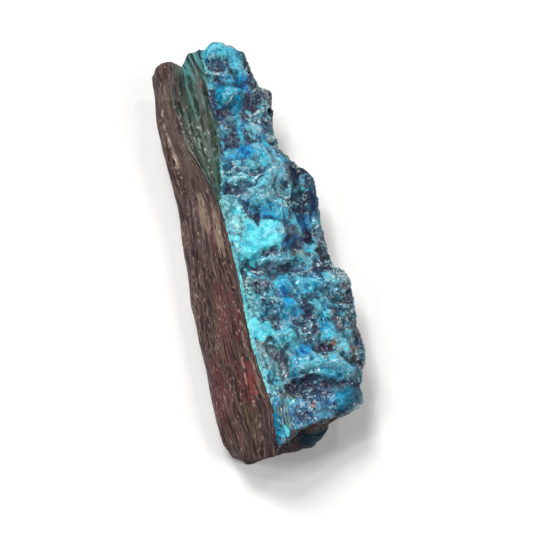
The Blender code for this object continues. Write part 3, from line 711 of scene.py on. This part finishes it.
def nearest_centres(places, spacing, seed):
    """Distances to the nearest and the next of seeded centres, one to a cell, and a random
    number for the nearest."""
    table = random_table(seed, 3)
    home = np.floor(places / spacing).astype(int)
    nearest = np.full(len(places), np.inf)
    second = np.full(len(places), np.inf)
    tone = np.zeros(len(places))
    for step in np.argwhere(np.ones((3, 3, 3))) - 1:
        cells = home + step
        dice = look_up(table, cells)
        distance = np.linalg.norm(places - (cells + dice) * spacing, axis=1)
        closer = distance < nearest
        second = np.where(closer, nearest, np.minimum(second, distance))
        tone = np.where(closer, (dice @ TONE_MIX) % 1.0, tone)
        nearest = np.where(closer, distance, nearest)
    return nearest, second, tone


def crust_lumps(places):
    """0 in the gaps to 1 on the tops of the lumps, by the square root of 1 - distance squared,
    and a random tone for each lump."""
    size, distance = LUMP_STRAY
    moved = strayed(places, size, distance, SEEDS["lump stray"])
    nearest, _, tone = nearest_centres(moved, LUMP_SPACING, SEEDS["lumps"])
    return np.sqrt(dome(nearest / LUMP_SPACING)), tone


def crumb_height(places):
    """Depth below the tops of the crumbs: a narrow cleft where two centres are equally near,
    and doming by distance squared."""
    total = np.zeros(len(places))
    for number, (spacing, size, stray, width, depth, doming) in enumerate(CRUMBS):
        moved = strayed(places, size, stray, SEEDS["crumb stray"] + 3 * number)
        nearest, second, _ = nearest_centres(moved, spacing, SEEDS["crumbs"] + number)
        cleft = 1.0 - smooth_step(second - nearest, 0.0, width)
        total -= depth * cleft + doming * (nearest / spacing) ** 2
    return total


def crust_reach(places):
    """How far a place lies right of the crust's left edge."""
    return places[:, 0] - np.interp(places[:, 1], *np.array(CRUST_FROM).T)


def crust_share(places):
    """1 on the blue crust, 0 on the host rock: right of the crust's left edge, and above its
    lower end."""
    low = smooth_step(places[:, 2], CRUST_LOWEST - 1.0, CRUST_LOWEST)
    return smooth_step(crust_reach(places), 0.0, 1.0) * low


def upper_places(places, normals):
    """Plan places that stray from smooth curves, for the forms of the upper face, and the share
    of those forms that a place takes: none on the steep sides and left of the crust."""
    x = places[:, 0] + WANDER * uneven(places, WANDER_SIZE, SEEDS["forms"])
    y = places[:, 1] + WANDER * uneven(places, WANDER_SIZE, SEEDS["forms"] + 1)
    facing_up = smooth_step(normals[:, 2], *UPPER_SLOPES)
    return x, y, facing_up * smooth_step(crust_reach(places), *UPPER_EDGE)


def main_relief(places, normals, lumps):
    """Height of the rock's forms above the plain form, along the normal: the forms of the upper
    face and the sides, with lumps on the crust and splinters on the host rock."""
    x, y, share = upper_places(places, normals)
    size, height = CRUST_BREAK
    growth = height * uneven(places, size, SEEDS["growth"]) + LUMP_HEIGHT * (lumps - LUMP_LEVEL)
    splinters = sum(height * uneven(places, size, SEEDS["splinters"] + number)
                    for number, (size, height) in enumerate(HOST_GRAIN))
    crust = crust_share(places)
    forms = share * upper_form_height(x, y) + side_form_height(places)
    return forms + crust * growth + (1.0 - crust) * splinters


def grain_places(places, rim, ring):
    """Coordinates that follow the host rock's fibres: across them (round the rim) and along. On
    the broken ends they are the plain places, so that the fibres show as grains there."""
    grain = np.stack([rim * FIBRE_SCALE, places[:, 1], np.zeros(len(rim))], axis=1)
    return np.where(ring[:, None] < 1.0, places, grain)


def fine_relief(places, normals, grain, smooth):
    """Crumbs, creases and thin lips of the crust, fibres of the host rock. A crease or a fibre's
    edge runs where a random field passes its middle value; smooth calms the crumbs."""
    rough = crumb_height(places)
    for number, (size, height) in enumerate(CRINKLES):
        moved = strayed(places, size, CREASE_STRAY * size, SEEDS["crease stray"])
        creases = np.abs(uneven(moved, size, SEEDS["creases"] + number))
        rough += height * (CREASE_LEVEL - 2.0 * creases)
    rough *= 1.0 - CRUMB_CALM * smooth
    x, y, share = upper_places(places, normals)
    x += LIP_STRAY * uneven(places, LIP_STRAY_SIZE, SEEDS["lips"])
    y += LIP_STRAY * uneven(places, LIP_STRAY_SIZE, SEEDS["lips"] + 1)
    fibres = sum(height * np.abs(uneven(grain, size, SEEDS["fibres"] + number))
                 for number, (size, height) in enumerate(FIBRES))
    crust = crust_share(places)
    return crust * rough - (1.0 - crust) * fibres + share * line_height(x, y, FINE_LINES)


# ----------------------------------------
# Masks of the tints and zones


def patch_reach(places, name):
    """How far a place lies inside the nearest patch of a name, in mm; below 0 outside it. The
    places stray at random, so that the outlines come out ragged."""
    x, y, _ = places.T
    stray_x = 0.0
    stray_y = 0.0
    for number, (size, stray) in enumerate(PATCH_WANDER):
        stray_x = stray_x + stray * uneven(places, size, SEEDS["patches"] + 2 * number)
        stray_y = stray_y + stray * uneven(places, size, SEEDS["patches"] + 1 + 2 * number)
    reach = np.full_like(x, -PATCH_REACH)
    for ellipse in ELLIPSES.get(name, ()):
        distance = plan_distance(x + stray_x, y + stray_y, *ellipse)
        reach = np.maximum(reach, (1.0 - distance) * min(ellipse[2:4]))
    for points in OUTLINES.get(name, ()):
        left, low = np.min(points, axis=0) - PATCH_REACH
        right, high = np.max(points, axis=0) + PATCH_REACH
        near = (x > left) & (x < right) & (y > low) & (y < high)
        inside = outline_reach((x + stray_x)[near], (y + stray_y)[near], points)
        reach[near] = np.maximum(reach[near], inside)
    reach += PATCH_GROW
    for points, half_width in BANDS.get(name, ()):
        distance = np.abs(walk_along(x + BAND_WANDER * stray_x, y + BAND_WANDER * stray_y, points))
        reach = np.maximum(reach, half_width - distance)
    return reach


def zone_reach(form, rim, share, ring):
    """How far a place lies inside each zone of the skin, below 0 outside: by its place round the
    rim and along the stone, and on the ends by its ring."""
    y = form[:, 1]
    near_end = share < 0.5
    crust = np.minimum(crust_reach(form), form[:, 2] - CRUST_LOWEST + 0.5)
    crust += CRUST_OVERLAP * smooth_step(y, *CRUST_OVERLAP_RUN)
    crust = np.where(near_end & (ring < 1.0), np.minimum(crust, (ring - CAP_CRUST_FROM) * 10.0), crust)
    strip = np.interp(y, *np.array(STRIP_WIDTHS).T) - np.abs(rim - STRIP_AT) * STRIP_SCALE
    green = (rim - GREEN_FROM) * 4.0 - GREEN_SHIFT * smooth_step(y, *GREEN_SHIFT_RUN)
    green = np.min([green, (GREEN_TO - rim) * 3.0, y - GREEN_START], axis=0)
    end = np.where(near_end, (CAP_SHADE_TO - ring) * 10.0, -1.0)
    zones = {"strip": strip, "green": green, "end": end, "flank": (rim - FLANK_FROM) * 5.0}
    clipped = {name: np.clip(reach, -1.0, 1.0) for name, reach in zones.items()}
    return {"crust": np.clip(crust, -PATCH_REACH, PATCH_REACH), **clipped}


def stain_reach(grain, ellipses):
    """How far a place lies inside the nearest stain of the host rock, as a share of its size."""
    distances = [plan_distance(grain[:, 0], grain[:, 1], *ellipse) for ellipse in ellipses]
    return np.maximum(-1.0, 1.0 - np.min(distances, axis=0))


# ----------------------------------------
# The stone


def skin_faces(rows, around):
    """Quads between the rows, and a fan of triangles round each end's middle point."""
    ids = 1 + np.arange((rows - 2) * around).reshape(rows - 2, around)
    beside = np.roll(ids, -1, axis=1)
    quads = np.stack([ids[:-1], beside[:-1], beside[1:], ids[1:]], axis=-1).reshape(-1, 4)
    near = np.stack([np.zeros(around, int), beside[0], ids[0]], axis=-1)
    far = np.stack([np.full(around, ids.size + 1), ids[-1], beside[-1]], axis=-1)
    return quads.tolist() + near.tolist() + far.tolist()


def raised(places, normals, height, margin, base):
    """Places moved along their normals: less so upwards near the base, and not at all on it."""
    offset = normals * height[:, None]
    offset[:, 2] *= margin
    offset[base] = 0.0
    return places + offset


def stone_piece():
    """The stone's skin: plain form, then main relief, then fine relief, each along the normals."""
    rim, share, ring = skin_grid()
    rows, around = len(share), len(rim)
    grid = (rows, around)
    rim = np.tile(rim, rows)
    share = np.repeat(share, around)
    ring = np.repeat(ring, around)
    form = rounded_form(rim, share, ring)
    base = on_base(rim, ring)
    margin = smooth_step(form[:, 2], 0.0, BASE_MARGIN)
    lumps, tones = crust_lumps(form)

    normals = grid_normals(form, grid)
    main = main_relief(form, normals, lumps)
    places = raised(form, normals, main, margin, base)

    normals = grid_normals(places, grid)
    grain = grain_places(form, rim, ring)
    masks = {name: patch_reach(places, name) for name in PATCHES}
    smooth = np.max([calm * smooth_step(masks[name], *CALM_RUN) for name, calm in CALM.items()], axis=0)
    fine = fine_relief(places, normals, grain, smooth)
    places = raised(places, normals, fine, margin, base)
    places[:, 2] = np.maximum(places[:, 2], 0.0)

    heights = (main + fine).reshape(grid)
    masks |= zone_reach(form, rim, share, ring)
    masks |= {name + " stain": stain_reach(grain, ellipses)
              for name, (_, *ellipses) in HOST_STAINS.items()}
    masks |= {
        "teal": np.max([reach - np.linalg.norm(places - middle, axis=1)
                        for *middle, reach in TEAL_BALLS], axis=0),
        "hollow": (blurred(heights, 3) - heights).ravel(),
        "deep": (blurred(blurred(heights, 8), 8) - heights).ravel(),
        "dome": lumps,
        "lump": tones,
        "length": form[:, 1],
    }

    keep = np.ones(len(places), bool)  # each end's middle is one point
    keep[1:around] = False
    keep[-around:-1] = False
    places = places[keep]
    middle = (places.min(axis=0) + places.max(axis=0)) / 2.0
    cad_middle = np.array((CAD_LOW + CAD_HIGH) / 2.0) / MM
    places[:, :2] += (cad_middle - middle)[:2]

    mesh = bpy.data.meshes.new("chrysocolla_stone")
    mesh.from_pydata((places * MM).tolist(), [], skin_faces(rows, around))
    for name, values in masks.items():
        mask = mesh.attributes.new(name, "FLOAT", "POINT")
        mask.data.foreach_set("value", values[keep].astype(np.float32))
    fibre = mesh.attributes.new("fibre", "FLOAT_VECTOR", "POINT")
    fibre.data.foreach_set("vector", (grain[keep] * MM).astype(np.float32).ravel())
    mesh.shade_smooth()
    stone = bpy.data.objects.new("chrysocolla_stone", mesh)
    bpy.context.scene.collection.objects.link(stone)
    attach(stone, "root")
    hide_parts(NODE)
    return stone


# ----------------------------------------
# Materials


def linear(code):
    """sRGB hex to linear red, green, blue and alpha."""
    srgb = [int(code[i:i + 2], 16) / 255.0 for i in (1, 3, 5)]
    return [c / 12.92 if c <= 0.04045 else ((c + 0.055) / 1.055) ** 2.4 for c in srgb] + [1.0]


def add_node(tree, kind, inputs, output=0, **settings):
    """Adds a node, sets its settings, and fills its inputs with links, values or sRGB colours."""
    node = tree.nodes.new("ShaderNode" + kind)
    for name, value in settings.items():
        setattr(node, name, value)
    for key, value in inputs.items():
        if isinstance(value, bpy.types.NodeSocket):
            tree.links.new(value, node.inputs[key])
        else:
            node.inputs[key].default_value = linear(value) if isinstance(value, str) else value
    return node.outputs[output]


def surface_values(add, mesh):
    """What the colours go by, each value under its name: the random fields, the masks, whose
    edges are frayed by the smallest field, and the wires, pits and calm made from them."""
    at = {"solid": add("TexCoord", {}, "Object"),
          "fibre": add("Attribute", {}, "Vector", attribute_name="fibre")}
    for name, way, size, length, detail in FIELDS:
        stretched = add("VectorMath", {0: at[way], 1: (1.0, size / length, 1.0)}, **TIMES)
        at[name] = add("TexNoise", {"Vector": stretched, "Scale": 1.0 / (size * MM),
                                    "Detail": detail, "Roughness": 0.6})
    for mask in mesh.attributes:
        if mask.data_type == "FLOAT":
            at[mask.name] = add("Attribute", {}, "Fac", attribute_name=mask.name)
    at["fray"] = add("Math", {0: at["small"], 1: 0.5}, **LESS)
    for name, (spread, low, high, cover) in EDGES.items():
        frayed = add("Math", {0: at["fray"], 1: spread, 2: at[name]}, **TIMES_PLUS)
        at[name] = add("MapRange", {0: frayed, 1: low, 2: high, 4: cover}, **EASED)

    wires = []
    for name, width in WIRES:
        off = add("Math", {0: at[name], 1: 0.5}, **LESS)
        off = add("Math", {0: off}, operation="ABSOLUTE")
        wires.append(add("MapRange", {0: off, 2: width, 3: 1.0, 4: 0.0}, **EASED))
    at["wire"] = add("Math", {0: wires[0], 1: wires[1]}, **LARGER)
    pits = add("Math", {0: at["crinkle"], 1: 0.6, 2: at["crease"]}, **TIMES_PLUS)
    at["pits"] = add("MapRange", {0: pits, 1: 0.76, 2: 0.64}, **EASED)
    chalky = at["bright"]
    for name in CHALKY:
        chalky = add("Math", {0: chalky, 1: at[name]}, **LARGER)
    at["calm"] = add("Math", {0: chalky, 1: -0.7, 2: 1.0}, **TIMES_PLUS)
    return at


def lay(add, below, colour, heights, low, high, cover=1.0):
    """Lays a colour over the one below: none of it where heights are low, its cover where high."""
    share = add("MapRange", {0: heights, 1: low, 2: high, 4: cover}, **EASED)
    return add("Mix", {0: share, 6: below, 7: colour}, 2, **COLOURS)


def spared(add, at, finish, amount):
    """Amount of a finish, times 1 - spare x share for each tint that takes less of it."""
    for name, spare in SPARED[finish].items():
        left = add("Math", {0: at[name], 1: -spare, 2: 1.0}, **TIMES_PLUS)
        amount = add("Math", {0: amount, 1: left}, **TIMES)
    return amount


def crust_colour(add, at):
    """Lumps from deep teal to cerulean, with painted shading on the two sides of each crease; the tints
    in their places; painted shade in the gaps between the lumps and near-black painted shade in the
    hollows and pits between the crumbs; painted highlights on the tops of the lumps; and painted
    glints, pale wires on whatever stands proud."""
    lively = add("Math", {0: at["lump"], 1: 0.30, 2: at["middling"]}, **TIMES_PLUS)
    # Painted shading on the two sides of each crease
    for name, width, weight in CREASE_LIT_AND_SHADED_SIDES:
        side = add("MapRange", {0: at[name], 1: 0.5 - width, 2: 0.5 + width, 3: -weight, 4: weight},
                   **EASED)
        lively = add("Math", {0: lively, 1: side}, operation="ADD")
    crust = lay(add, "#0a6284", "#56cce6", lively, 0.44, 0.88)
    for name, low, high, cover, colour in CRUST_LAYERS:
        crust = lay(add, crust, colour, at[name], low, high, cover)
    for name, (dark, light, mottling, *_) in TINTS.items():
        tone = lay(add, dark, light, at[mottling], 0.43, 0.57)
        crust = add("Mix", {0: at[name], 6: crust, 7: tone}, 2, **COLOURS)

    # Painted shade in the gaps between the lumps and painted highlights on their tops, fading out
    # towards the far end
    lumpy = add("MapRange", {0: at["length"], 1: LUMPS_FADE[0], 2: LUMPS_FADE[1], 3: 1.0, 4: 0.0})
    lumpy = add("Math", {0: lumpy, 1: at["calm"]}, **TIMES)
    lumpy = spared(add, at, "lumps", lumpy)
    frayed = add("Math", {0: at["fray"], 1: 0.35, 2: at["dome"]}, **TIMES_PLUS)
    for low, high, cover, colour in LUMP_SHADE_AND_HIGHLIGHT:
        share = add("Math", {0: lumpy, 1: cover}, **TIMES)
        crust = lay(add, crust, colour, frayed, low, high, share)

    # Painted shade: near-black in the hollows between the crumbs, and in pits, which come in clusters
    cluster = add("MapRange", {0: at["cluster"], 1: 0.42, 2: 0.58, 3: 0.15, 4: 1.0}, **EASED)
    cover = add("Math", {0: at["lace"], 1: 0.6, 2: cluster}, **TIMES_PLUS)
    cover = spared(add, at, "crumbs", cover)
    painted_shade = at["fray"]
    for name, weight in (("hollow", 3.0), ("deep", 1.1)):
        painted_shade = add("Math", {0: at[name], 1: weight, 2: painted_shade}, **TIMES_PLUS)
    painted_shade = add("MapRange", {0: painted_shade, 1: 0.14, 2: 0.56, 4: 0.65}, **EASED)
    pitted = add("Math", {0: at["pits"], 1: cover}, **TIMES)
    pitted = add("Math", {0: pitted, 1: 0.5}, **TIMES)
    painted_shade = add("Math", {0: painted_shade, 1: pitted}, **LARGER)
    painted_shade = add("Math", {0: painted_shade, 1: at["calm"]}, **TIMES)
    # Colour of the painted shade in hollows and pits
    painted_shade_colour = lay(add, "#3c334d", "#234663", at["broad"], *BLUISH)
    crust = add("Mix", {0: painted_shade, 6: crust, 7: painted_shade_colour}, 2, **COLOURS)
    crust = add("Mix", {0: at["flank"], 6: crust, 7: "#1d2435"}, 2, **COLOURS)

    # Painted glints: pale wires on whatever stands proud, standing in for highlights on the crust's
    # sharp edges
    painted_glints = add("MapRange", {0: at["hollow"], 1: 0.06, 2: -0.03}, **EASED)
    for factor in (at["wire"], cover, at["calm"]):
        painted_glints = add("Math", {0: painted_glints, 1: factor}, **TIMES)
    # Colour of the painted glints
    pale = lay(add, "#d2f3f8", "#dbe2f9", at["broad"], *BLUISH)
    return add("Mix", {0: painted_glints, 6: crust, 7: pale}, 2, **COLOURS)


def host_colour(add, at):
    """Host rock: short brown fibres, stains, dark splits and pale flecks, with the layered green rock
    beside the crust at the far end, and painted shade on the near end."""
    host = lay(add, "#302226", "#674e47", at["thread"], 0.38, 0.62)
    strands = add("Math", {0: at["strand"], 1: 0.5}, **LESS)
    for name, (colour, *_) in HOST_STAINS.items():
        stained = add("Math", {0: strands, 1: 3.0, 2: at[name + " stain"]}, **TIMES_PLUS)
        stained = add("Math", {0: stained, 1: at["fray"]}, operation="ADD")
        host = lay(add, host, colour, stained, 0.0, 0.5, 0.75)
    dusk = add("Math", {0: at["hair"], 1: 0.5, 2: at["streak"]}, **TIMES_PLUS)
    dusk = add("MapRange", {0: dusk, 1: 0.75, 2: 0.61, 4: 0.92}, **EASED)
    host = add("Mix", {0: dusk, 6: host, 7: "#170e11"}, 2, **COLOURS)
    clump = add("Math", {0: at["strand"], 1: 0.5, 2: at["fleck"]}, **TIMES_PLUS)
    host = lay(add, host, "#bca89e", clump, 0.84, 0.94, 0.55)
    host = lay(add, host, "#bca89e", at["streak"], 0.62, 0.73, 0.65)
    for name, (dark, light, mottling, *_) in HOST_TINTS.items():
        tone = lay(add, dark, light, at[mottling], 0.4, 0.6)
        host = add("Mix", {0: at[name], 6: host, 7: tone}, 2, **COLOURS)

    layer = add("Math", {0: at["thread"], 1: 0.7, 2: at["layer"]}, **TIMES_PLUS)
    layer = add("MapRange", {0: layer, 1: 0.70, 2: 1.02}, **EASED)
    green = add("Mix", {0: layer, 6: "#13211d", 7: "#42695f"}, 2, **COLOURS)
    inner = add("MapRange", {0: at["green"], 1: 0.3, 2: 0.9}, **EASED)
    watery = add("MapRange", {0: at["length"], 1: 20.0, 2: 25.0, 4: 0.7}, **EASED)
    for factor in (layer, inner):
        watery = add("Math", {0: watery, 1: factor}, **TIMES)
    green = add("Mix", {0: watery, 6: green, 7: "#4f939c"}, 2, **COLOURS)
    green = lay(add, green, "#3c3a2e", at["strand"], 0.48, 0.60, 0.75)
    green = lay(add, green, "#101a18", dusk, 0.2, 0.6, 0.8)
    green = lay(add, green, "#a3bdb2", clump, 0.84, 0.96, 0.45)
    greened = add("Math", {0: at["layer"], 1: 0.5}, **LESS)
    greened = add("Math", {0: greened, 1: 4.0, 2: at["green"]}, **TIMES_PLUS)
    host = lay(add, host, green, greened, -0.3, 1.0)

    host = add("Mix", {0: at["teal"], 6: host, 7: "#0f4f5c"}, 2, **COLOURS)
    # Painted shade: the near end darker, as it gets little light
    return lay(add, host, "#1b1a22", at["end"], 0.0, 1.0, 0.5)


def relief_heights(add, at):
    """Fine relief in metres: glassy facets, each a plane that leans at random through its cell's
    middle, for the coat; with wires and pits for the crust; and the host rock's threads."""
    moved = add("Mix", {0: FACET_STRAY * MM, 6: at["solid"], 7: at["small"].node.outputs["Color"]}, 2,
                blend_type="ADD", **COLOURS)
    facets = 0.0
    for spacing, slope in FACETS:
        cell = add("TexVoronoi", {"Vector": moved, "Scale": 1.0 / (spacing * MM)}).node.outputs
        lean = add("VectorMath", {0: cell["Color"], 1: (0.5, 0.5, 0.5)}, **LESS)
        step = add("VectorMath", {0: moved, 1: cell["Position"]}, **LESS)
        tilted = add("VectorMath", {0: lean, 1: step}, "Value", operation="DOT_PRODUCT")
        facets = add("Math", {0: tilted, 1: slope, 2: facets}, **TIMES_PLUS)
    crust = facets
    for name, height in (("wire", WIRE_HEIGHT), ("pits", -PIT_DEPTH)):
        crust = add("Math", {0: at[name], 1: height * MM, 2: crust}, **TIMES_PLUS)
    facets, crust = [add("Math", {0: heights, 1: at["calm"]}, **TIMES) for heights in (facets, crust)]
    threads = add("Math", {0: at["hair"], 1: 0.6, 2: at["thread"]}, **TIMES_PLUS)
    threads = add("Math", {0: threads, 1: THREAD_HEIGHT * MM}, **TIMES)
    return facets, crust, threads


def host_and_crust_material(mesh):
    """Chrysocolla, a glassy copper silicate that grew in lumps and looks wet, on dark fibrous host
    rock. The crust is glossy, blue and teal, with chalky turquoise patches; the rock broke along
    its fibres and is dull brown."""
    material = bpy.data.materials.new("chrysocolla_on_host_rock")
    material.use_nodes = True
    tree = material.node_tree
    inputs = tree.nodes["Principled BSDF"].inputs
    add = functools.partial(add_node, tree)
    at = surface_values(add, mesh)

    run = at["strip"]  # the bright strip beside the crest, and its ends
    for low, high in STRIP_ENDS:
        part = add("MapRange", {0: at["length"], 1: low, 2: high}, **EASED)
        run = add("Math", {0: run, 1: part}, **TIMES)
    strip = lay(add, "#4aa9b4", "#8ce9ee", at["small"], 0.35, 0.65)
    colour = add("Mix", {0: at["crust"], 6: host_colour(add, at), 7: crust_colour(add, at)}, 2,
                 **COLOURS)
    colour = add("Mix", {0: run, 6: colour, 7: strip}, 2, **COLOURS)
    tree.links.new(colour, inputs["Base Color"])

    glossy = add("Math", {0: at["crust"], 1: at["calm"]}, **TIMES)
    glossy = spared(add, at, "gloss", glossy)
    for name, slope, least in GLOSS:
        tree.links.new(add("Math", {0: glossy, 1: slope, 2: least}, **TIMES_PLUS), inputs[name])
    for name, value in FINISH.items():
        inputs[name].default_value = value

    facets, crust, threads = relief_heights(add, at)
    for heights, name in ((crust, "Normal"), (facets, "Coat Normal")):
        relief = add("Mix", {0: at["crust"], 2: threads, 3: heights})
        bump = add("Bump", {"Strength": 1.0, "Distance": 1.0, "Height": relief})
        tree.links.new(bump, inputs[name])
    return material


def floor_material():
    """White paper sweep: matt and even."""
    material = bpy.data.materials.new("white_paper")
    material.use_nodes = True
    inputs = material.node_tree.nodes["Principled BSDF"].inputs
    inputs["Base Color"].default_value = linear("#f4f3f1")
    inputs["Roughness"].default_value = 0.9
    return material


# ----------------------------------------
# Studio


def floor():
    """Square that the stone lies on, made as stage."""
    mesh = bpy.data.meshes.new("floor")
    corners = [(-FLOOR, -FLOOR, 0.0), (FLOOR, -FLOOR, 0.0), (FLOOR, FLOOR, 0.0), (-FLOOR, FLOOR, 0.0)]
    mesh.from_pydata(corners, [], [(0, 1, 2, 3)])
    mesh.materials.append(floor_material())
    piece = bpy.data.objects.new("floor", mesh)
    bpy.context.scene.collection.objects.link(piece)


def aimed(name, data, place, back):
    """Puts a lamp or the camera at a place, with its back along the direction back."""
    thing = bpy.data.objects.new(name, data)
    thing.location = place
    thing.rotation_mode = "QUATERNION"
    thing.rotation_quaternion = back.to_track_quat("Z", "Y")
    bpy.context.scene.collection.objects.link(thing)
    return thing


def studio():
    """Dim white surroundings, and square lamps that face the stone."""
    world = bpy.data.worlds.new("studio")
    world.use_nodes = True
    background = world.node_tree.nodes["Background"].inputs
    background["Color"].default_value = (1.0, 1.0, 1.0, 1.0)
    background["Strength"].default_value = 0.08
    bpy.context.scene.world = world
    for name, place, size, power in LAMPS:
        lamp = bpy.data.lights.new(name, "AREA")
        lamp.size = size
        lamp.energy = power
        aimed(name, lamp, place, Vector(place))
    bpy.context.scene.view_settings.view_transform = "Standard"


def camera():
    """Looks down on the stone from its near end, a little from the left."""
    azimuth = math.radians(AZIMUTH)
    elevation = math.radians(ELEVATION)
    back = Vector((math.sin(azimuth) * math.cos(elevation), -math.cos(azimuth) * math.cos(elevation),
                   math.sin(elevation)))
    lens = bpy.data.cameras.new("camera")
    lens.lens = LENS
    lens.clip_start = 0.01
    bpy.context.scene.camera = aimed("camera", lens, AIM + back * DISTANCE, back)


camera()
studio()
floor()
stone = stone_piece()
stone.data.materials.append(host_and_crust_material(stone.data))
